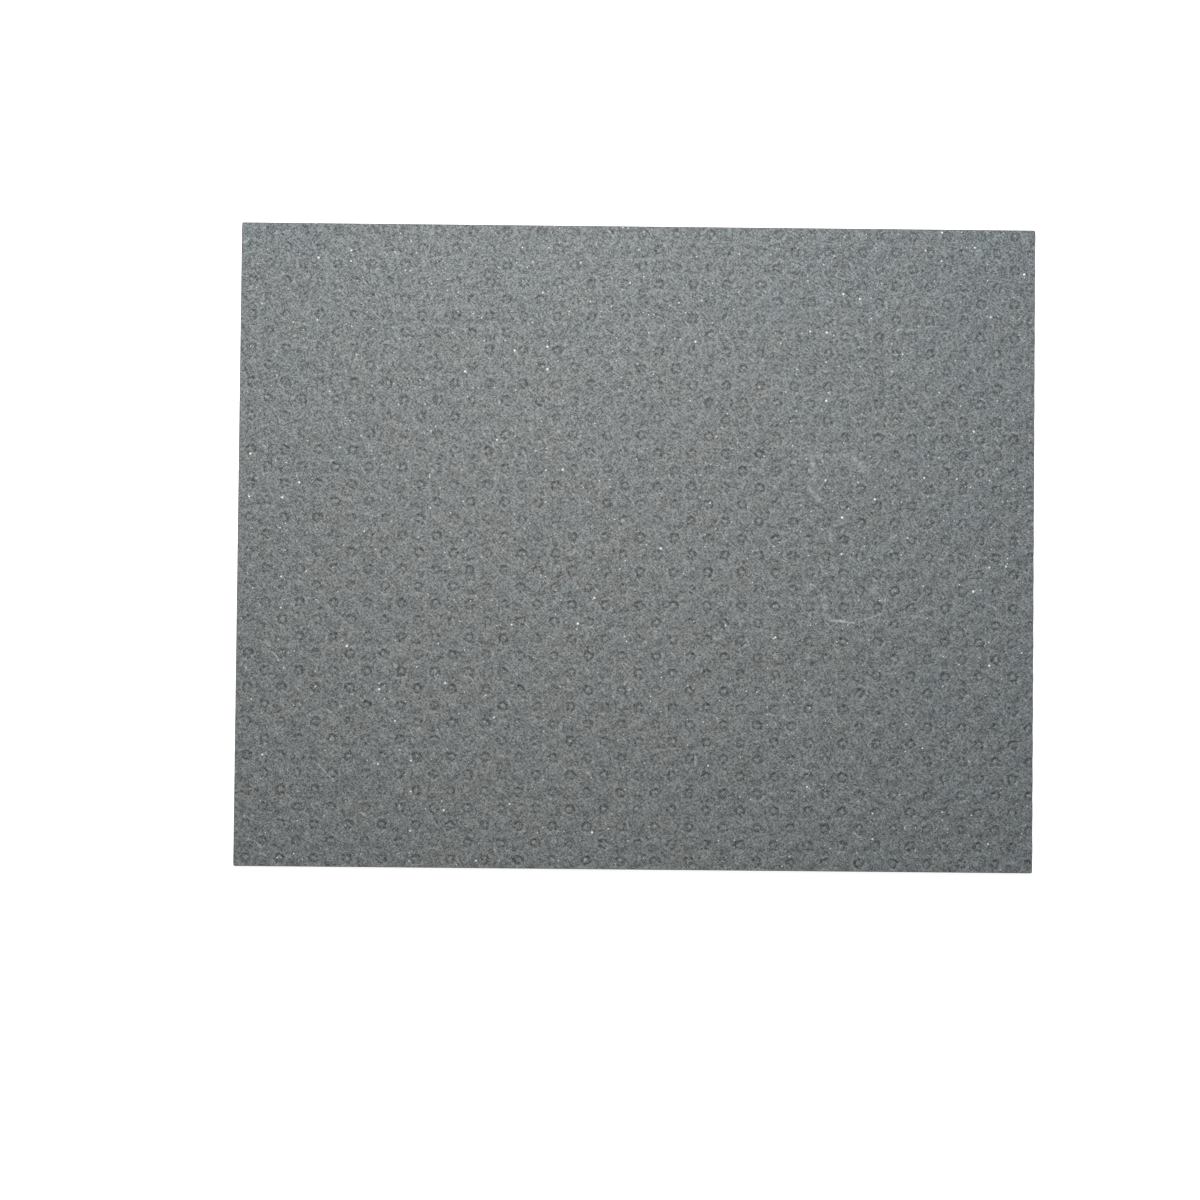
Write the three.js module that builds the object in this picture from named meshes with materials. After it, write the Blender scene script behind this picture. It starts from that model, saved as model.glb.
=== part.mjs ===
// Gasket sheet: fibre facing rolled onto a tanged steel core, guillotined to a rectangle.
// Rolling makes the stock one piece, so the sheet is one solid that lies flat on the floor.
// Millimetres, +Z up. Origin: centre of the lower face. +X runs along the long side.
import * as THREE from 'three';

// Driving dimensions
const SHEET_LENGTH = 150; // along X
const SHEET_WIDTH = 121.3; // along Y
const SHEET_THICKNESS = 1.5; // along Z
const ARRIS_ROUND = 0.12; // the cut edges are softened where they meet either face
const FACE_CORNER_RADIUS = 0.25; // the corners of each face are worn round
const ARC_STEPS = 3; // steps in each rounded arris
const CORNER_STEPS = 3; // curve divisions of each corner

// Outline of one face: the cut size less the rounded arris on every side.
function faceOutline() {
  const r = FACE_CORNER_RADIUS;
  const x = SHEET_LENGTH / 2 - ARRIS_ROUND - r;
  const y = SHEET_WIDTH / 2 - ARRIS_ROUND - r;
  const quarter = Math.PI / 2;
  const outline = new THREE.Shape();
  outline.absarc(x, y, r, 0, quarter);
  outline.absarc(-x, y, r, quarter, 2 * quarter);
  outline.absarc(-x, -y, r, 2 * quarter, 3 * quarter);
  outline.absarc(x, -y, r, 3 * quarter, 4 * quarter);
  outline.closePath();
  return outline;
}

// The face is raised through the thickness, and the arrises swell out to the cut size.
function sheetBody() {
  const body = new THREE.ExtrudeGeometry(faceOutline(), {
    depth: SHEET_THICKNESS - 2 * ARRIS_ROUND,
    curveSegments: CORNER_STEPS,
    bevelEnabled: true,
    bevelThickness: ARRIS_ROUND,
    bevelSize: ARRIS_ROUND,
    bevelSegments: ARC_STEPS,
  });
  body.translate(0, 0, ARRIS_ROUND);
  return body;
}

// Matte slate grey facing, the same on both faces.
const facing = new THREE.MeshStandardMaterial({
  name: 'fibre_facing',
  color: new THREE.Color().setStyle('rgb(123, 127, 127)'),
  roughness: 0.8,
  metalness: 0,
});

const gasketSheet = new THREE.Mesh(sheetBody(), facing);
gasketSheet.name = 'gasket_sheet';

const part = new THREE.Group();
part.add(gasketSheet);

export default part;
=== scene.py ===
# %% [markdown]
# # A gasket sheet with a tanged core
# The sheet is stock that gaskets are cut from. Grey fibre facing is rolled onto a thin steel core
# that was punched full of small prongs, the tangs, and every tang prints a mark on the face.
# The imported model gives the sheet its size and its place. This lesson dresses it: a pressed face
# with its rows of marks, a cut edge, and the streaky grey finish of the fibre.
# The lengths are in metres, with +X along the long side and +Z up through the thickness.

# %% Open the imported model
import math
import random

import bmesh
import bpy
from mathutils import Matrix, Vector


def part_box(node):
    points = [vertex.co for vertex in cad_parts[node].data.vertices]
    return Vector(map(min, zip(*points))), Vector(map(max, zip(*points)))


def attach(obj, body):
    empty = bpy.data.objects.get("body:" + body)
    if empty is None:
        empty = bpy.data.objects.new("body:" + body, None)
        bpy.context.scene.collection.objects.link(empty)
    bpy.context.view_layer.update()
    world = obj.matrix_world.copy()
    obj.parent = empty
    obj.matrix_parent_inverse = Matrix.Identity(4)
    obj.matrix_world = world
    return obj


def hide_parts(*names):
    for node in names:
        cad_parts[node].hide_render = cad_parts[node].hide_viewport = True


MM = 0.001

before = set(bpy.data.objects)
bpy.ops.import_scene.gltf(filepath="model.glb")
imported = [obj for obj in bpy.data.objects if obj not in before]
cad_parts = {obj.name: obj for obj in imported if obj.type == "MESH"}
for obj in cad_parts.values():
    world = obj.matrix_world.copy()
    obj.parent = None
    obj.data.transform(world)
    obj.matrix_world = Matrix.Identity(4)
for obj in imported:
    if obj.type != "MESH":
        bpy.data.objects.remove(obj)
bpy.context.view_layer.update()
sheet_low, sheet_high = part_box("gasket_sheet")
print("sheet, mm:", [round(side / MM, 2) for side in sheet_high - sheet_low])

# %% [markdown]
# ## The camera
# The sheet lies on the floor and is seen from straight above, about 0.3 m away. A longer lens
# further off would do too, but at this distance the sheet shows the slight taper of a snapshot.
# The camera comes first, so that every later step can be judged through it.

# %% Hang the camera over the sheet
CAMERA_PLACE = (-0.0076, -0.0159, 0.3149)
CAMERA_TILT = (1.06, -0.18, 0.56)  # degrees about X, Y and Z
CAMERA_LENS = 50  # in millimetres, like the sensor
CAMERA_SENSOR = 36

camera_data = bpy.data.cameras.new("camera_over_sheet")
camera_data.lens = CAMERA_LENS
camera_data.sensor_width = CAMERA_SENSOR
camera = bpy.data.objects.new("camera_over_sheet", camera_data)
camera.location = CAMERA_PLACE
camera.rotation_euler = [math.radians(angle) for angle in CAMERA_TILT]
bpy.context.scene.collection.objects.link(camera)
bpy.context.scene.camera = camera
print("camera height, mm:", round(camera.location.z / MM, 1))

# %% [markdown]
# ## Small helpers for node trees
# A material here is a chain of nodes. Short helpers keep the chains readable: one adds a node and
# fills or links its inputs, and the others add a single sum, a change of range or a blend of two
# colours, and hand back its result.

# %% Write the node helpers
def add_node(tree, kind, inputs=None, **settings):
    """Adds a node with these settings, and fills each input with a value or links a socket to it."""
    node = tree.nodes.new(kind)
    for name, value in settings.items():
        setattr(node, name, value)
    for key, value in (inputs or {}).items():
        if isinstance(value, bpy.types.NodeSocket):
            tree.links.new(value, node.inputs[key])
        else:
            node.inputs[key].default_value = value
    return node


def sums(tree, operation, *values):
    """One sum on numbers, and its result."""
    return add_node(tree, "ShaderNodeMath", dict(enumerate(values)), operation=operation).outputs[0]


def vector_sums(tree, operation, *values):
    """One sum on vectors, and its result."""
    node = add_node(tree, "ShaderNodeVectorMath", dict(enumerate(values)), operation=operation)
    return node.outputs["Value" if operation in ("LENGTH", "DOT_PRODUCT") else "Vector"]


def scaled(tree, vector, factor):
    """A vector made longer or shorter by a factor."""
    inputs = {0: vector, "Scale": factor}
    return add_node(tree, "ShaderNodeVectorMath", inputs, operation="SCALE").outputs["Vector"]


def remapped(tree, value, low, high, to_low=0.0, to_high=1.0, interpolation="LINEAR"):
    """Maps the range from low to high onto the one from to_low to to_high, and holds values in it."""
    inputs = {"Value": value, "From Min": low, "From Max": high, "To Min": to_low, "To Max": to_high}
    return add_node(tree, "ShaderNodeMapRange", inputs, interpolation_type=interpolation).outputs["Result"]


def blend(tree, share, first, second):
    """The colour that lies this share of the way from the first to the second."""
    inputs = {"Factor": share, "A": first, "B": second}
    return add_node(tree, "ShaderNodeMix", inputs, data_type="RGBA").outputs["Result"]


def start_material(name):
    """A new material, with its node tree and its shader."""
    material = bpy.data.materials.new(name)
    material.use_nodes = True
    return material, material.node_tree, material.node_tree.nodes["Principled BSDF"]


print("node helpers are ready")

# %% [markdown]
# ## The studio
# The picture wants a plain white floor and no hard shadow. The floor gives off a little light of
# its own, as a light table does, so that it stays white where the lamp is weaker. One soft lamp
# beyond the far edge lights the face from the top of the picture: close lamps fall off quickly,
# so the near edge is darker, and the low angle there brings out the marks. The room gives a weak
# even fill. The camera sees the room as white, so no dark horizon shows from a low viewpoint.

# %% Lay the floor
FLOOR_SIZE = 3.0
FLOOR_WHITE = (0.9, 0.9, 0.9, 1)
FLOOR_GLOW = 0.85

floor_mesh = bpy.data.meshes.new("studio_floor")
floor_builder = bmesh.new()
bmesh.ops.create_grid(floor_builder, x_segments=1, y_segments=1, size=FLOOR_SIZE / 2)
floor_builder.to_mesh(floor_mesh)
floor_builder.free()
floor = bpy.data.objects.new("studio_floor", floor_mesh)
bpy.context.scene.collection.objects.link(floor)

floor_paint, _, floor_shader = start_material("floor_paint")
floor_shader.inputs["Base Color"].default_value = FLOOR_WHITE
floor_shader.inputs["Roughness"].default_value = 0.9
floor_shader.inputs["Specular IOR Level"].default_value = 0.1
floor_shader.inputs["Emission Color"].default_value = (1, 1, 1, 1)
floor_shader.inputs["Emission Strength"].default_value = FLOOR_GLOW
floor_mesh.materials.append(floor_paint)
print("floor width, m:", round(floor.dimensions.x, 2))

# %% Set the lamp and the fill light
LAMP_PLACE = Vector((-0.023, 0.13, 0.25))
LAMP_AIM = Vector((0, 0, 0))
LAMP_SIZE = 0.12
LAMP_POWER = 0.797
FILL_STRENGTH = 0.15
BACKDROP_STRENGTH = 1.0  # what the camera sees past the floor

lamp_data = bpy.data.lights.new("soft_lamp", "AREA")
lamp_data.size = LAMP_SIZE
lamp_data.energy = LAMP_POWER
lamp = bpy.data.objects.new("soft_lamp", lamp_data)
lamp.location = LAMP_PLACE
lamp.rotation_euler = (LAMP_AIM - LAMP_PLACE).to_track_quat("-Z", "Y").to_euler()
bpy.context.scene.collection.objects.link(lamp)

room = bpy.data.worlds.new("room_light")
room.use_nodes = True
room_light = room.node_tree.nodes["Background"]
room_light.inputs["Color"].default_value = (1, 1, 1, 1)
seen_by_camera = add_node(room.node_tree, "ShaderNodeLightPath").outputs["Is Camera Ray"]
room_strength = remapped(room.node_tree, seen_by_camera, 0.0, 1.0, FILL_STRENGTH, BACKDROP_STRENGTH)
room.node_tree.links.new(room_strength, room_light.inputs["Strength"])
bpy.context.scene.world = room
bpy.context.scene.view_settings.view_transform = "Standard"
print("lamp to sheet, mm:", round((LAMP_PLACE - LAMP_AIM).length / MM))

# %% [markdown]
# ## The rows of marks
# The core is punched on a square grid, and its tangs point up and down by turns. So the face has
# two kinds of mark, placed like the colours of a chessboard: a crisp ring where a tang comes up
# through the facing, and a soft low bump where one goes down.
# A face with some 1800 marks is quick to build if every mark starts as one square cell. A grid
# gives the cells, and splitting each side of a cell in three makes it a twelve-sided plate that
# can be rounded into rings. It starts larger than the sheet and is trimmed later, as the real
# stock is, so the cut runs through some marks.

# %% Lay a grid of cells over the sheet
PITCH = 3.2 * MM  # from one mark to the next along a row
RING_MARK_X = -2.39 * MM  # the ring nearest to the middle of the sheet
RING_MARK_Y = -1.56 * MM
BUMP_RISE = 0.16 * MM  # the soft bumps are the highest points, level with the sheet's top
FACE_HEIGHT = sheet_high.z - BUMP_RISE


def cell_number(place, first):
    """Which cell of a row or column holds this place."""
    return math.floor((place - first) / PITCH + 0.5)


def each_once(parts):
    """Each part once, in the order found. A set would give them in another order on another run."""
    return list(dict.fromkeys(parts))


def lay_cells(builder, columns, rows, height):
    """Adds a grid of square cells that covers these columns and rows, and returns its faces."""
    wide = columns[1] - columns[0] + 1
    high = rows[1] - rows[0] + 1
    middle = Vector((RING_MARK_X + sum(columns) / 2 * PITCH, RING_MARK_Y + sum(rows) / 2 * PITCH, height))
    fit = Matrix.Translation(middle) @ Matrix.Diagonal((wide * PITCH / 2, high * PITCH / 2, 1, 1))
    grid = bmesh.ops.create_grid(builder, x_segments=wide, y_segments=high, size=1, matrix=fit)
    return each_once(face for vert in grid["verts"] for face in vert.link_faces)


upper_columns = [cell_number(edge, RING_MARK_X) for edge in (sheet_low.x, sheet_high.x)]
upper_rows = [cell_number(edge, RING_MARK_Y) for edge in (sheet_low.y, sheet_high.y)]
sheet_builder = bmesh.new()
bite = sheet_builder.verts.layers.float.new("bite")
upper_cells = lay_cells(sheet_builder, upper_columns, upper_rows, FACE_HEIGHT)
bmesh.ops.bisect_edges(sheet_builder, edges=sheet_builder.edges, cuts=2)
print("cells:", len(upper_cells), "with", len(upper_cells[0].verts), "sides")

# %% [markdown]
# ## Pressing the marks
# Each mark is pressed by insetting its cell a few times. An inset leaves a narrow band round the
# plate, and the plate's own corners are then moved onto a circle at the wanted height. The ring
# marks are shallow dishes with a crevice where the prongs of the tang bite, deeper in four places.
# No two tangs bite alike, so each mark draws its own depth, turn and slight shift from a seeded
# generator. The depth is also stored on the mesh as bite, and the material reads it later, so that
# a deep mark gets more bruise and more painted crevice shade. The marks fade a little towards the top of
# the sheet.

# %% Press one kind of mark
FIRST_INSET = 0.02 * MM  # any small step will do, because the new corners are placed just after it


def mark_centre(cell):
    """The middle of a cell, before anything in it is moved."""
    return cell.calc_center_median()


def press_marks(builder, marks, rings, depth):
    """Insets each mark's cell once for every ring, and moves the plate to that ring's circle."""
    cells = [mark["cell"] for mark in marks]
    for radius, share, lobes in rings:
        bmesh.ops.inset_individual(builder, faces=cells, thickness=FIRST_INSET)
        for mark in marks:
            for vert in mark["cell"].verts:
                away = vert.co.xy - mark["centre"].xy
                angle = math.atan2(away.y, away.x)
                swing = 1 + lobes * math.cos(4 * (angle - mark["turn"]))
                place = mark["centre"].xy + mark["shift"] + away.normalized() * radius * mark["size"]
                sink = depth * share * swing * mark["bite"]
                vert.co = (place.x, place.y, mark["centre"].z - sink)
                vert[bite] = mark["bite"]


MARK_SHIFT = 0.07 * MM
MARK_SIZES = (0.94, 1.06)
dice = random.Random(32)


def draw_marks(cells, spread, most, fade):
    """Draws the bite, turn, size and shift of a mark for each cell, column by column."""
    marks = []
    for cell in sorted(cells, key=lambda face: tuple(round(c, 5) for c in mark_centre(face))):
        centre = mark_centre(cell)
        towards_top = (centre.y - sheet_low.y) / (sheet_high.y - sheet_low.y)
        marks.append({
            "cell": cell,
            "centre": centre,
            "bite": min(dice.lognormvariate(0, spread), most) * (1 - fade * towards_top),
            "turn": dice.uniform(0, math.pi / 2),
            "size": dice.uniform(*MARK_SIZES),
            "shift": Vector((dice.uniform(-1, 1), dice.uniform(-1, 1))) * MARK_SHIFT,
        })
    return marks


def is_ring(cell):
    """True for the cells where a tang comes up through the upper face."""
    centre = mark_centre(cell)
    return (cell_number(centre.x, RING_MARK_X) + cell_number(centre.y, RING_MARK_Y)) % 2 == 0


ring_cells = [cell for cell in upper_cells if is_ring(cell)]
bump_cells = [cell for cell in upper_cells if not is_ring(cell)]
print("ring cells:", len(ring_cells), "bump cells:", len(bump_cells))

# %% Press the rings and the bumps into the upper face
RING_DEPTH = 0.13 * MM
RINGS = (  # radius, share of the depth, and how much deeper it is in four places
    (1.42 * MM, 0.00, 0.0),
    (1.00 * MM, 0.55, 0.1),
    (0.70 * MM, 1.00, 0.3),
    (0.44 * MM, 0.50, 0.1),
)
BUMP_RINGS = (
    (1.34 * MM, 0.10, 0.0),
    (0.60 * MM, -1.00, 0.0),
)
BUMP_MOST = 1.4  # the strongest bite of a bump, which lifts it to the sheet's top

ring_marks = draw_marks(ring_cells, spread=0.2, most=1.6, fade=0.3)
bump_marks = draw_marks(bump_cells, spread=0.25, most=BUMP_MOST, fade=0.15)
press_marks(sheet_builder, ring_marks, RINGS, RING_DEPTH)
press_marks(sheet_builder, bump_marks, BUMP_RINGS, BUMP_RISE / BUMP_MOST)
highest = max(vert.co.z for vert in sheet_builder.verts)
lowest = min(vert.co.z for vert in sheet_builder.verts)
print("relief of the upper face, mm:", round(lowest / MM, 3), "to", round(highest / MM, 3))

# %% [markdown]
# ## Cutting to size
# A guillotine cuts the real stock, straight through the marks. bisect_plane does the same and
# clears what lies outside the cut. Three more light cuts take the point off each corner. Each of
# them looks for its faces afresh, because the cut before it has made new ones.

# %% Trim the face to its outline
ARRIS = 0.12 * MM  # how far the cut edge is rounded where it meets either face
CORNER_RADIUS = 0.25 * MM  # of the face inside that rounding
CORNER_CUTS = (22.5, 45.0, 67.5)  # degrees round each corner
CORNER_REACH = 1.5 * MM  # how far from a corner its cuts look for faces
WELD = 0.01 * MM

half_length = sheet_high.x - ARRIS
half_width = sheet_high.y - ARRIS


def cut(builder, point, direction, faces):
    """Cuts these faces by a plane and clears the side that direction points to."""
    edges = each_once(edge for face in faces for edge in face.edges)
    verts = each_once(vert for face in faces for vert in face.verts)
    parts = [*faces, *edges, *verts]
    bmesh.ops.bisect_plane(builder, geom=parts, plane_co=point, plane_no=direction, clear_outer=True)


for direction in (Vector((1, 0, 0)), Vector((-1, 0, 0)), Vector((0, 1, 0)), Vector((0, -1, 0))):
    point = Vector((direction.x * half_length, direction.y * half_width, 0))
    cut(sheet_builder, point, direction, sheet_builder.faces[:])

for side_x in (-1, 1):
    for side_y in (-1, 1):
        pivot = Vector((side_x * (half_length - CORNER_RADIUS), side_y * (half_width - CORNER_RADIUS), 0))
        for angle in map(math.radians, CORNER_CUTS):
            near = [
                face
                for face in sheet_builder.faces
                if min((vert.co.xy - pivot.xy).length for vert in face.verts) < CORNER_REACH
            ]
            direction = Vector((side_x * math.cos(angle), side_y * math.sin(angle), 0))
            cut(sheet_builder, pivot + direction * CORNER_RADIUS, direction, near)

bare_edges = [edge for edge in sheet_builder.edges if not edge.link_faces]
bmesh.ops.delete(sheet_builder, geom=bare_edges, context="EDGES")
rim = each_once(vert for edge in sheet_builder.edges if edge.is_boundary for vert in edge.verts)
bmesh.ops.remove_doubles(sheet_builder, verts=rim, dist=WELD)
print("faces after trimming:", len(sheet_builder.faces))

# %% [markdown]
# ## The cut edge
# The edge of the sheet is what the blade leaves: a plain wall whose arrises are slightly rounded.
# It is grown from the face's own border. Extruding the border a few times along a quarter circle
# makes the arris, a long step down makes the wall, and another quarter circle turns it under.

# %% Grow the arris and the wall
ARC_STEPS = 2


def outward(place):
    """The level direction that leads out of the sheet from a place near its border."""
    reach_x = max(abs(place.x) - (half_length - CORNER_RADIUS), 0)
    reach_y = max(abs(place.y) - (half_width - CORNER_RADIUS), 0)
    return Vector((math.copysign(reach_x, place.x), math.copysign(reach_y, place.y), 0)).normalized()


def grow_border(builder, border, out, down):
    """Extrudes the border edges, moves the new edge out and down, and returns it with the new faces."""
    grown = bmesh.ops.extrude_edge_only(builder, edges=border)["geom"]
    for vert in (part for part in grown if isinstance(part, bmesh.types.BMVert)):
        vert.co += outward(vert.co) * out - Vector((0, 0, down))
    faces = [part for part in grown if isinstance(part, bmesh.types.BMFace)]
    edges = [part for part in grown if isinstance(part, bmesh.types.BMEdge) and part.is_boundary]
    return edges, faces


def mark_sharp(edges):
    """Stops the shading from running smoothly over these edges."""
    for edge in edges:
        edge.smooth = False


edge_faces = []
border = [edge for edge in sheet_builder.edges if edge.is_boundary]
mark_sharp(border)
for step in range(ARC_STEPS):
    turn_from = math.pi / 2 * step / ARC_STEPS
    turn_to = math.pi / 2 * (step + 1) / ARC_STEPS
    out = ARRIS * (math.sin(turn_to) - math.sin(turn_from))
    down = ARRIS * (math.cos(turn_from) - math.cos(turn_to))
    border, faces = grow_border(sheet_builder, border, out, down)
    edge_faces += faces
mark_sharp(border)
border, faces = grow_border(sheet_builder, border, 0, 0)
for vert in each_once(vert for edge in border for vert in edge.verts):
    vert.co.z = ARRIS
edge_faces += faces
mark_sharp(border)
for step in range(ARC_STEPS):
    turn_from = math.pi / 2 * step / ARC_STEPS
    turn_to = math.pi / 2 * (step + 1) / ARC_STEPS
    out = -ARRIS * (math.cos(turn_from) - math.cos(turn_to))
    down = ARRIS * (math.sin(turn_to) - math.sin(turn_from))
    border, faces = grow_border(sheet_builder, border, out, down)
    edge_faces += faces
mark_sharp(border)
for face in edge_faces:
    face.material_index = 1
print("faces in the cut edge:", len(edge_faces))

# %% [markdown]
# ## The underside
# The sheet lies on this face, and the two kinds of mark change places on it. It is built the same
# way with fewer steps: whole cells only, split in eight, and rings alone. What is left between
# the cells and the edge is flat, so one triangle_fill closes it.

# %% Build and close the underside
UNDER_RINGS = (
    (1.20 * MM, 0.00, 0.0),
    (0.70 * MM, -1.00, 0.0),
)
PLAIN_BAND = 0.6 * MM  # kept free of whole cells inside the cut edge
inner_x = sheet_high.x - PLAIN_BAND
inner_y = sheet_high.y - PLAIN_BAND
under_columns = (cell_number(-inner_x, RING_MARK_X) + 1, cell_number(inner_x, RING_MARK_X) - 1)
under_rows = (cell_number(-inner_y, RING_MARK_Y) + 1, cell_number(inner_y, RING_MARK_Y) - 1)

under_cells = lay_cells(sheet_builder, under_columns, under_rows, sheet_low.z)
bmesh.ops.reverse_faces(sheet_builder, faces=under_cells)
under_sides = each_once(edge for cell in under_cells for edge in cell.edges)
bmesh.ops.bisect_edges(sheet_builder, edges=under_sides, cuts=1)
under_ring_cells = [cell for cell in under_cells if not is_ring(cell)]
under_marks = draw_marks(under_ring_cells, spread=0.4, most=1.8, fade=0.0)
press_marks(sheet_builder, under_marks, UNDER_RINGS, RING_DEPTH)
open_edges = [edge for edge in sheet_builder.edges if edge.is_boundary]
filled = bmesh.ops.triangle_fill(sheet_builder, edges=open_edges, use_beauty=True, normal=(0, 0, -1))
print("underside marks:", len(under_marks), "closing faces:", len(filled["geom"]))
print("open edges left:", sum(1 for edge in sheet_builder.edges if not edge.is_manifold))

# %% [markdown]
# ## From builder to object
# The bmesh is only a workbench. Its faces are turned outwards and shaded smoothly, and then it is
# written to a mesh, which an object carries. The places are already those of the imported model, so
# the object stays at the origin, unturned and unscaled.

# %% Make the sheet's object
bmesh.ops.recalc_face_normals(sheet_builder, faces=sheet_builder.faces)
for face in sheet_builder.faces:
    face.smooth = True
triangles = sum(len(face.verts) - 2 for face in sheet_builder.faces)
sheet_mesh = bpy.data.meshes.new("gasket_sheet_pressed")
sheet_builder.to_mesh(sheet_mesh)
sheet_builder.free()
sheet = bpy.data.objects.new("gasket_sheet_pressed", sheet_mesh)
bpy.context.scene.collection.objects.link(sheet)
print("triangles:", triangles)

# %% [markdown]
# ## Finding the marks again in the material
# The relief alone is too faint, so the material darkens the rings as well: partly the bruise that the
# prongs leave in the fibre, and partly painted shade in the crevice. The material has to know how far
# each point is from its mark. The ring marks make a square grid that is turned by 45 degrees, so one
# Mapping node of the Texture type puts them on whole numbers. The fraction of that gives the place
# inside the cell, the floor gives the cell's number, and White Noise turns the number into values of
# the mark's own. On the underside the two kinds of mark change places, which is a shift by half a
# cell. A noise frays the place a little first, so that no mark is perfectly round.

# %% Measure from the nearest mark
DIAGONAL_PITCH = PITCH * math.sqrt(2)
FRAY_SCALE = 1.1 / MM  # cells of noise per metre
FRAY_REACH = 0.55 * MM

facing, tree, facing_shader = start_material("pressed_fibre_facing")
place = add_node(tree, "ShaderNodeTexCoord").outputs["Object"]
height = add_node(tree, "ShaderNodeSeparateXYZ", {0: place}).outputs["Z"]
frayed = add_node(tree, "ShaderNodeTexNoise", {"Vector": place, "Scale": FRAY_SCALE, "Detail": 2.0})
frayed_by = vector_sums(tree, "SUBTRACT", frayed.outputs["Color"], (0.5, 0.5, 0.5))
frayed_place = vector_sums(tree, "MULTIPLY_ADD", frayed_by, (FRAY_REACH, FRAY_REACH, 0), place)
to_rings = add_node(
    tree,
    "ShaderNodeMapping",
    {
        "Vector": frayed_place,
        "Location": (RING_MARK_X, RING_MARK_Y, 0),
        "Rotation": (0, 0, math.radians(45)),
        "Scale": (DIAGONAL_PITCH, DIAGONAL_PITCH, 1),
    },
    vector_type="TEXTURE",
).outputs["Vector"]
underside = sums(tree, "LESS_THAN", height, sheet_high.z / 2)
in_cells = vector_sums(tree, "ADD", to_rings, scaled(tree, (0.5, 0.5, 0), underside))


def from_mark(offset):
    """Distance in millimetres and angle from the nearest mark, and random values of that mark."""
    moved = vector_sums(tree, "ADD", in_cells, (offset, offset, 0))
    inside = vector_sums(tree, "SUBTRACT", vector_sums(tree, "FRACTION", moved), (0.5, 0.5, 0.5))
    to_mm = (DIAGONAL_PITCH / MM, DIAGONAL_PITCH / MM, 0)
    level = vector_sums(tree, "MULTIPLY", inside, to_mm)
    parts = add_node(tree, "ShaderNodeSeparateXYZ", {0: level})
    angle = sums(tree, "ARCTAN2", parts.outputs["Y"], parts.outputs["X"])
    number = vector_sums(tree, "FLOOR", moved)
    chance = add_node(tree, "ShaderNodeTexWhiteNoise", {"Vector": number}, noise_dimensions="2D")
    return vector_sums(tree, "LENGTH", level), angle, chance.outputs["Color"]


ring_distance, ring_angle, ring_chance = from_mark(0.5)
bump_distance, _, _ = from_mark(0.0)
print("nodes so far:", len(tree.nodes))

# %% [markdown]
# ## Bruises, painted light and painted shade of the two marks
# Both marks are round, so each shade is a curve over the distance from the mark. A Float Curve node
# holds it: 0.5 leaves the facing as it is, less darkens and more lightens. The ring is dark where
# the prongs bite, partly a bruise and partly painted shade in the crevice, and a painted highlight
# makes the rim round it pale. It breaks up into four darker places, turned by the mark's own random
# value, and painted shade darkens its upper side, whose wall faces away from the lamp; that side
# turns a little from mark to mark. The bump is painted lighter on its crown and darker on its skirt,
# as light and shade fall on a dome. The mesh's bite says how dark the whole mark is.

# %% Shade the rings and the bumps
CURVE_REACH = 2.4  # millimetres covered by a curve
PAINTED_SHADE_SPREAD = 1.8  # radians, how far the side with the painted shade turns from mark to mark
FOUR_FOLD = 0.35  # how much darker the four deepest places of a ring are, in bruise and painted crevice shade
PAINTED_SHADE_SIDE = 0.3  # how much darker painted shade makes the upper side of a ring, whose wall faces away from the lamp
BITE_SHARE = 0.6  # how much of a ring's darkness follows its bite
RING_SHADE = 0.55
BUMP_SHADE = 0.75


def shade_curve(distance, points):
    """A smooth curve over the distance from a mark, given as points of millimetres and shade."""
    share = sums(tree, "DIVIDE", distance, CURVE_REACH)
    node = add_node(tree, "ShaderNodeFloatCurve", {"Value": share})
    curve = node.mapping.curves[0]
    curve.points[0].location = (0, points[0][1])
    curve.points[-1].location = (1, points[-1][1])
    for away, shade in points[1:-1]:
        curve.points.new(away / CURVE_REACH, shade)
    node.mapping.update()
    return sums(tree, "SUBTRACT", node.outputs["Value"], 0.5)


# The ring's dark dip is partly bruise and partly painted crevice shade; its pale rim near 1.3 mm is a
# painted highlight.
ring_shade = shade_curve(
    ring_distance,
    (
        (0, 0.84),
        (0.33, 0.70),
        (0.55, 0.22),
        (0.74, 0.0),
        (0.90, 0.15),
        (1.07, 0.49),
        (1.3, 0.67),
        (1.7, 0.55),
        (2.4, 0.5),
    ),
)
# Painted light and shade: the bump's crown is lighter and its skirt darker in the colour, as on a dome lit
# from above.
bump_shade = shade_curve(
    bump_distance,
    ((0, 0.62), (0.4, 0.60), (0.7, 0.54), (1.2, 0.44), (1.5, 0.47), (1.9, 0.52), (2.4, 0.51)),
)
chances = add_node(tree, "ShaderNodeSeparateXYZ", {0: ring_chance})
ring_turn = sums(tree, "MULTIPLY", chances.outputs["X"], 2 * math.pi)
four_fold = sums(tree, "COSINE", sums(tree, "MULTIPLY_ADD", ring_angle, 4.0, ring_turn))
# Painted shade: the upper side of each ring, whose wall faces away from the lamp, is darkened in the
# colour.
painted_shade_turn = sums(tree, "MULTIPLY_ADD", chances.outputs["Y"], PAINTED_SHADE_SPREAD, -PAINTED_SHADE_SPREAD / 2 - math.pi / 4)
painted_shade_side = sums(tree, "COSINE", sums(tree, "ADD", ring_angle, painted_shade_turn))
painted_shade_factor = sums(tree, "MULTIPLY_ADD", painted_shade_side, PAINTED_SHADE_SIDE, 1.0)
broken = sums(tree, "MULTIPLY_ADD", four_fold, FOUR_FOLD, painted_shade_factor)
mark_bite = add_node(tree, "ShaderNodeAttribute", attribute_name="bite").outputs["Fac"]
from_bite = sums(tree, "MULTIPLY_ADD", mark_bite, BITE_SHARE, 1 - BITE_SHARE)
ring_strength = sums(tree, "MULTIPLY", from_bite, broken)
ring_part = sums(tree, "MULTIPLY", ring_shade, ring_strength)
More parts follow.
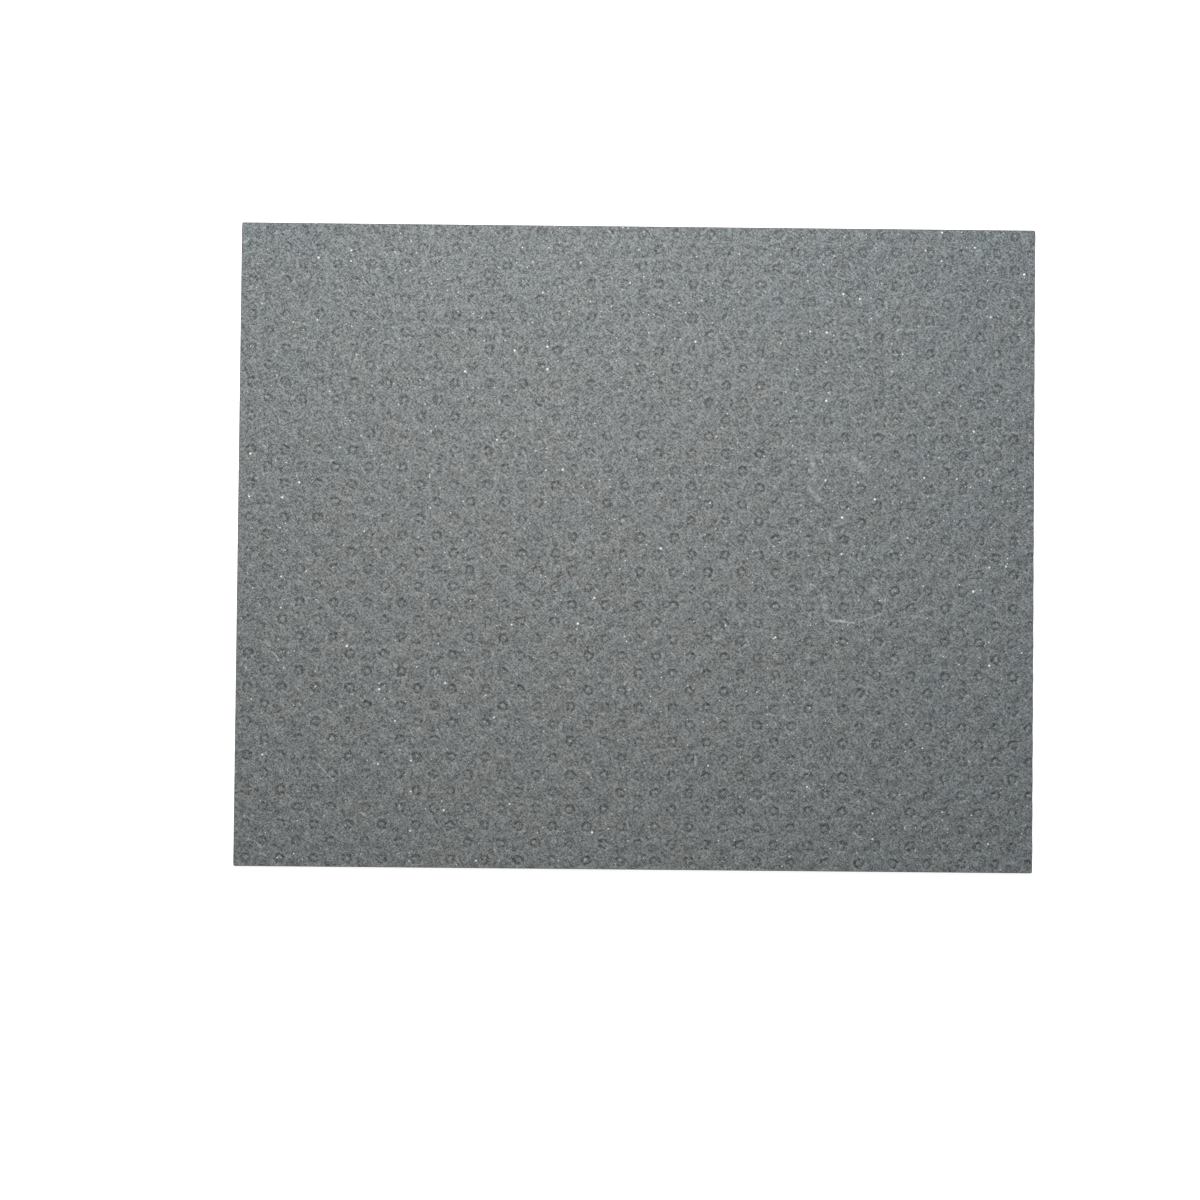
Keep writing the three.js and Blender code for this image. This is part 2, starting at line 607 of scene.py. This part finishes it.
bump_part = sums(tree, "MULTIPLY", bump_shade, BUMP_SHADE)
# The marks' shade: bruise, painted crevice shade, a painted highlight on each ring's rim, and the bumps'
# painted light and shade.
marks_shade = sums(tree, "MULTIPLY_ADD", ring_part, RING_SHADE, bump_part)
print("nodes so far:", len(tree.nodes))

# %% [markdown]
# ## The grain of the fibre
# Pressed fibre has no weave. Short fibres lie across each other, most of them on two slants, and
# some are pale hairs: partly paler fibre, and partly a painted highlight where they catch the light.
# Noise that is stretched along a turned axis makes the streaks: a Mapping node of the Texture type
# turns it and sets the length and the width of a streak. The hairs are the thin lines where such a
# noise passes through its middle value, as contour lines on a map do, and they come in patches.
# Grit finishes the grain: the cells of a Voronoi texture, a fifth of a millimetre wide, each of its own
# shade.

# %% Mix the grain
STREAK_DISTORTION = 0.3  # bends the streaks a little, so that they don't look woven


def stretched_noise(angle, length, width, seed, detail=0.0):
    """Noise from -0.5 to 0.5 whose streaks have this length and width and are turned by angle."""
    turned = add_node(
        tree,
        "ShaderNodeMapping",
        {
            "Vector": place,
            "Location": (seed * MM, 0, 0),
            "Rotation": (0, 0, math.radians(angle)),
            "Scale": (length * MM, width * MM, 1),
        },
        vector_type="TEXTURE",
    )
    noise = add_node(
        tree,
        "ShaderNodeTexNoise",
        {
            "Vector": turned.outputs["Vector"],
            "Scale": 1.0,
            "Detail": detail,
            "Roughness": 0.6,
            "Distortion": STREAK_DISTORTION,
        },
        noise_dimensions="2D",
    )
    return sums(tree, "SUBTRACT", noise.outputs[0], 0.5)


def grit(cell_size, seed):
    """Grains of this size in millimetres, side by side, each of its own shade from -0.5 to 0.5."""
    shifted = vector_sums(tree, "MULTIPLY_ADD", place, (1 / MM, 1 / MM, 0), (seed, seed, 0))
    cells = add_node(
        tree, "ShaderNodeTexVoronoi", {"Vector": shifted, "Scale": 1 / cell_size}, voronoi_dimensions="2D"
    )
    shade = add_node(tree, "ShaderNodeSeparateXYZ", {0: cells.outputs["Color"]}).outputs["X"]
    return sums(tree, "SUBTRACT", shade, 0.5)


def add_layer(total, layer, strength):
    """Adds a layer, scaled by its strength, to the total of the layers before it."""
    return sums(tree, "MULTIPLY_ADD", layer, strength, total)


FIBRES = (  # turn, length and width in millimetres, seed and strength
    (-52, 1.20, 0.21, 11, 0.44),
    (42, 1.05, 0.21, 37, 0.37),
)
GRIT_SIZE = 0.19
GRIT_SEED = 29
GRIT_STRENGTH = 1.1
HAIRS = (  # turn, length and width in millimetres, seed and strength
    (-50, 3.6, 0.45, 23, 1.00),
    (46, 3.0, 0.45, 47, 0.80),
    (-8, 2.6, 0.65, 67, 0.30),
)
HAIR_FINENESS = 32.0  # the higher, the thinner
PATCH_SIZE = (1.5, 0.9)  # of the hairs, in millimetres
GRAIN_LEVEL = 0.08  # the mean of the grain, taken off again so that it doesn't lighten the face

grain = 0.0
for turn, length, width, seed, strength in FIBRES:
    grain = add_layer(grain, stretched_noise(turn, length, width, seed), strength)
grain = add_layer(grain, grit(GRIT_SIZE, GRIT_SEED), GRIT_STRENGTH)
# The hairs lighten the colour: partly paler fibre, partly a painted highlight where they catch the light.
for turn, length, width, seed, strength in HAIRS:
    from_line = sums(tree, "ABSOLUTE", stretched_noise(turn, length, width, seed))
    line = sums(tree, "SUBTRACT", 1.0, sums(tree, "MULTIPLY", from_line, HAIR_FINENESS))
    patch = remapped(tree, stretched_noise(turn, *PATCH_SIZE, seed + 1), -0.3, 0.25)
    hair = sums(tree, "MULTIPLY", sums(tree, "MAXIMUM", line, 0.0), patch)
    grain = add_layer(grain, hair, strength)
grain = sums(tree, "SUBTRACT", grain, GRAIN_LEVEL)
print("layers of grain:", len(FIBRES), "of hairs:", len(HAIRS))

# %% [markdown]
# ## Scuffs and specks
# The face isn't clean. It is scuffed in two places, and short pale scratches lie about. Each
# scratch is the distance to a short line, worked out with vector sums. Hundreds of specks of
# mineral dust glint on the face, and the glints are painted highlights, near-white in the colour: a
# Voronoi texture drops one point into every square millimetre or so, and only the points with a
# high random value are kept.

# %% Draw the scratches and the scuffs
def level_from(point, reached):
    """The level way from a point of the face, given in millimetres, to the place that is reached."""
    return vector_sums(tree, "MULTIPLY_ADD", reached, (1, 1, 0), (-point[0] * MM, -point[1] * MM, 0))


def stroke(start, end, width, strength):
    """A pale line from start to end, in millimetres on the face."""
    along = Vector((end[0] - start[0], end[1] - start[1], 0)) * MM
    from_start = level_from(start, frayed_place)
    progress = vector_sums(tree, "DOT_PRODUCT", from_start, tuple(along))
    share = sums(tree, "DIVIDE", progress, along.length_squared)
    held = add_node(tree, "ShaderNodeClamp", {"Value": share}).outputs[0]
    away = vector_sums(tree, "SUBTRACT", from_start, scaled(tree, tuple(along), held))
    distance = vector_sums(tree, "LENGTH", away)
    return remapped(tree, distance, 0.0, width * MM, strength, 0.0, interpolation="SMOOTHSTEP")


STROKES = (  # start, end and width in millimetres, and strength
    ((-59.3, -41.5), (-56.2, -44.6), 0.24, 1.05),
    ((36.3, -13.4), (41.2, -14.0), 0.30, 1.00),
    ((41.2, -14.0), (46.2, -12.2), 0.24, 0.65),
    ((35.6, -8.6), (35.9, -13.2), 0.9, 0.36),
    ((44.5, -7.8), (46.9, -9.6), 1.1, 0.30),
    ((36.6, 2.8), (36.9, 1.4), 0.6, 0.65),
    ((32.9, 17.0), (33.4, 13.4), 0.9, 0.40),
    ((33.0, 17.4), (43.0, 17.8), 0.7, 0.26),
    ((40.5, 17.6), (43.4, 14.4), 1.3, 0.32),
    ((32.8, 10.9), (34.4, 9.3), 0.8, 0.60),
)
worn = None
for start, end, width, strength in STROKES:
    line = stroke(start, end, width, strength)
    worn = line if worn is None else sums(tree, "MAXIMUM", worn, line)
print("strokes:", len(STROKES))

# %% Scatter the specks
def scatter(cell_size, kept_over, smallest, largest, seed):
    """A mask of small round specks. cell_size and the two radii are in millimetres."""
    shifted = vector_sums(tree, "MULTIPLY_ADD", place, (1 / MM, 1 / MM, 0), (seed, seed, 0))
    dots = add_node(
        tree, "ShaderNodeTexVoronoi", {"Vector": shifted, "Scale": 1 / cell_size}, voronoi_dimensions="2D"
    )
    chance = add_node(tree, "ShaderNodeSeparateXYZ", {0: dots.outputs["Color"]}).outputs["X"]
    radius = remapped(tree, chance, kept_over, 1.0, smallest, largest)
    away = sums(tree, "MULTIPLY", dots.outputs["Distance"], cell_size)
    inside = sums(tree, "LESS_THAN", away, radius)
    return sums(tree, "MULTIPLY", inside, sums(tree, "GREATER_THAN", chance, kept_over))


small_specks = scatter(cell_size=1.0, kept_over=0.92, smallest=0.03, largest=0.12, seed=5)
large_specks = scatter(cell_size=3.1, kept_over=0.95, smallest=0.11, largest=0.23, seed=17)
specks = sums(tree, "MAXIMUM", small_specks, large_specks)
print("nodes so far:", len(tree.nodes))

# %% [markdown]
# ## Putting the facing together
# The shades, the painted light and shade of the marks among them, are shares of the facing's own
# brightness, so they are added up to one factor, and the colour is scaled by it. The colour itself
# wavers between a cool and a warm grey from fibre to fibre, and is warmest a little off the middle
# of the face. Specks replace the colour with a painted glint.

# %% Paint the facing
COOL_GREY = (0.177, 0.221, 0.246, 1)
WARM_GREY = (0.234, 0.220, 0.196, 1)
# Painted highlight: the specks' glints are put into the colour as this near-white.
SPECK_GLINT_WHITE = (0.95, 0.95, 0.90, 1)
WARM_PLACE = (-20, -12)  # where the face is warmest, in millimetres
WARM_REACH = 0.095
WARM_SHARE = 0.54  # of the warm grey, at that place
COOLING = -0.13  # how that share changes by the time WARM_REACH is covered
TINT_STRENGTH = 1.8
SLOW_TINT_STRENGTH = 0.35
CLOUD_STRENGTH = 0.12
CLOUD_SIZE = (9.0, 6.0)
DARKEST = 0.3

tint_noise = stretched_noise(-30, 0.6, 0.35, seed=5, detail=2.0)
slow_tint = stretched_noise(40, *CLOUD_SIZE, seed=3, detail=4.0)
warm_distance = vector_sums(tree, "LENGTH", level_from(WARM_PLACE, place))
warm_reach = sums(tree, "DIVIDE", warm_distance, WARM_REACH)
warmth = sums(tree, "MULTIPLY_ADD", sums(tree, "MULTIPLY", warm_reach, warm_reach), COOLING, WARM_SHARE)
tint_share = add_layer(add_layer(warmth, tint_noise, TINT_STRENGTH), slow_tint, SLOW_TINT_STRENGTH)
tint = blend(tree, tint_share, COOL_GREY, WARM_GREY)
clouds = stretched_noise(20, *CLOUD_SIZE, seed=91, detail=2.0)
shades = add_layer(sums(tree, "ADD", grain, marks_shade), clouds, CLOUD_STRENGTH)
brightness = sums(tree, "ADD", shades, sums(tree, "ADD", worn, 1.0))
toned = scaled(tree, tint, sums(tree, "MAXIMUM", brightness, DARKEST))
# Painted highlight: the specks replace the colour with near-white glints.
painted = blend(tree, specks, toned, SPECK_GLINT_WHITE)
print("nodes so far:", len(tree.nodes))

# %% Add the two coloured spots
COLOURED_SPOTS = (  # place on the face in millimetres, and colour
    ((72.99, -54.75), (0.50, 0.03, 0.03, 1)),
    ((-68.55, 48.92), (0.42, 0.28, 0.20, 1)),
)
SPOT_RADIUS = 0.18 * MM

for spot, spot_colour in COLOURED_SPOTS:
    spot_distance = vector_sums(tree, "LENGTH", level_from(spot, place))
    painted = blend(tree, sums(tree, "LESS_THAN", spot_distance, SPOT_RADIUS), painted, spot_colour)
tree.links.new(painted, facing_shader.inputs["Base Color"])
print("coloured spots:", len(COLOURED_SPOTS))

# %% [markdown]
# ## The finish and the finest relief
# The finish is matt, a little smoother on the streaks that the roller has polished. A Bump node
# takes the relief that is too fine for the mesh: the grain, the crevice of each ring and the soft
# crown of each bump. Its Distance is the height of a shade of one in the grain, and the other two
# are added in that measure.

# %% Roughen the facing
FIBRE_HEIGHT = 0.03 * MM
BITE_DEPTH = 0.11 * MM
DOME_HEIGHT = 0.12 * MM
SMOOTHEST = 0.58
ROUGHEST = 0.72

roughness = remapped(tree, grain, -0.5, 0.5, ROUGHEST, SMOOTHEST)
tree.links.new(roughness, facing_shader.inputs["Roughness"])
facing_shader.inputs["Specular IOR Level"].default_value = 0.35
bite_height = sums(tree, "MULTIPLY", ring_part, BITE_DEPTH / FIBRE_HEIGHT)
dome_shape = shade_curve(
    bump_distance,
    ((0, 1.0), (0.4, 0.95), (0.9, 0.75), (1.3, 0.56), (1.7, 0.5), (2.4, 0.5)),
)
dome_height = sums(tree, "MULTIPLY", dome_shape, 2 * DOME_HEIGHT / FIBRE_HEIGHT)
fine_height = sums(tree, "ADD", grain, sums(tree, "ADD", bite_height, dome_height))
fibre_bump = add_node(tree, "ShaderNodeBump", {"Height": fine_height, "Distance": FIBRE_HEIGHT})
tree.links.new(fibre_bump.outputs["Normal"], facing_shader.inputs["Normal"])
print("nodes in the facing:", len(tree.nodes))

# %% [markdown]
# ## The cut edge
# The blade drags the fibre and scores the edge lightly along its length. The edge, with its rounded
# arrises, is darker than the face: partly the dragged fibre and partly painted shade, which draws a
# dark outline round the face seen from above. At half the thickness the thin steel core shows as a
# bright line, broken where the cut runs through a punched hole.

# %% Paint the cut edge
# Painted shade: this grey is dark partly for the dragged fibre and partly as shade on the cut edge and its
# arrises.
EDGE_SHADED_GREY = (0.085, 0.092, 0.092, 1)
EDGE_PALE = (0.20, 0.21, 0.21, 1)
STEEL = (0.32, 0.32, 0.31, 1)
STEEL_METALLIC = 0.8
CORE_THICKNESS = 0.08 * MM
CORE_WANDER = 0.25 * MM  # how far the core strays from half the thickness
WANDER_SCALE = 0.35 / MM
SCORE_SCALE = 1.4 / MM
SCORE_SQUASH = 5  # times finer through the thickness than along the edge
SCORE_DEPTH = 0.05 * MM
HOLES_UNDER = 0.46  # the core shows where the scoring's noise is above this

cut_edge, tree, edge_shader = start_material("cut_edge_of_facing")
place = add_node(tree, "ShaderNodeTexCoord").outputs["Object"]
squashed = vector_sums(tree, "MULTIPLY", place, (1, 1, SCORE_SQUASH))
scoring = add_node(
    tree,
    "ShaderNodeTexNoise",
    {"Vector": squashed, "Scale": SCORE_SCALE, "Detail": 4.0, "Roughness": 0.65},
).outputs[0]
wander = add_node(
    tree, "ShaderNodeTexNoise", {"Vector": place, "Scale": WANDER_SCALE, "Detail": 2.0}
).outputs[0]
edge_height = add_node(tree, "ShaderNodeSeparateXYZ", {0: place}).outputs["Z"]
strayed = sums(tree, "SUBTRACT", wander, 0.5)
core_height = sums(tree, "MULTIPLY_ADD", strayed, CORE_WANDER, sheet_high.z / 2)
from_core = sums(tree, "ABSOLUTE", sums(tree, "SUBTRACT", edge_height, core_height))
core = sums(tree, "LESS_THAN", from_core, CORE_THICKNESS / 2)
core_mask = sums(tree, "MULTIPLY", core, sums(tree, "GREATER_THAN", scoring, HOLES_UNDER))
edge_tint = blend(tree, remapped(tree, scoring, 0.3, 0.7), EDGE_SHADED_GREY, EDGE_PALE)
tree.links.new(blend(tree, core_mask, edge_tint, STEEL), edge_shader.inputs["Base Color"])
tree.links.new(sums(tree, "MULTIPLY", core_mask, STEEL_METALLIC), edge_shader.inputs["Metallic"])
edge_shader.inputs["Roughness"].default_value = 0.75
edge_shader.inputs["Specular IOR Level"].default_value = 0.3
edge_bump = add_node(
    tree, "ShaderNodeBump", {"Height": scoring, "Strength": 0.7, "Distance": SCORE_DEPTH}
)
tree.links.new(edge_bump.outputs["Normal"], edge_shader.inputs["Normal"])
print("nodes in the cut edge:", len(tree.nodes))

# %% [markdown]
# ## Handing the sheet over
# The sheet takes its two finishes, rides on the imported model's body, and stands in for the plain
# sheet there.

# %% Place the sheet in the frame
sheet_mesh.materials.append(facing)
sheet_mesh.materials.append(cut_edge)
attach(sheet, "root")
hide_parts("gasket_sheet")
print("finishes on the sheet:", len(sheet_mesh.materials))
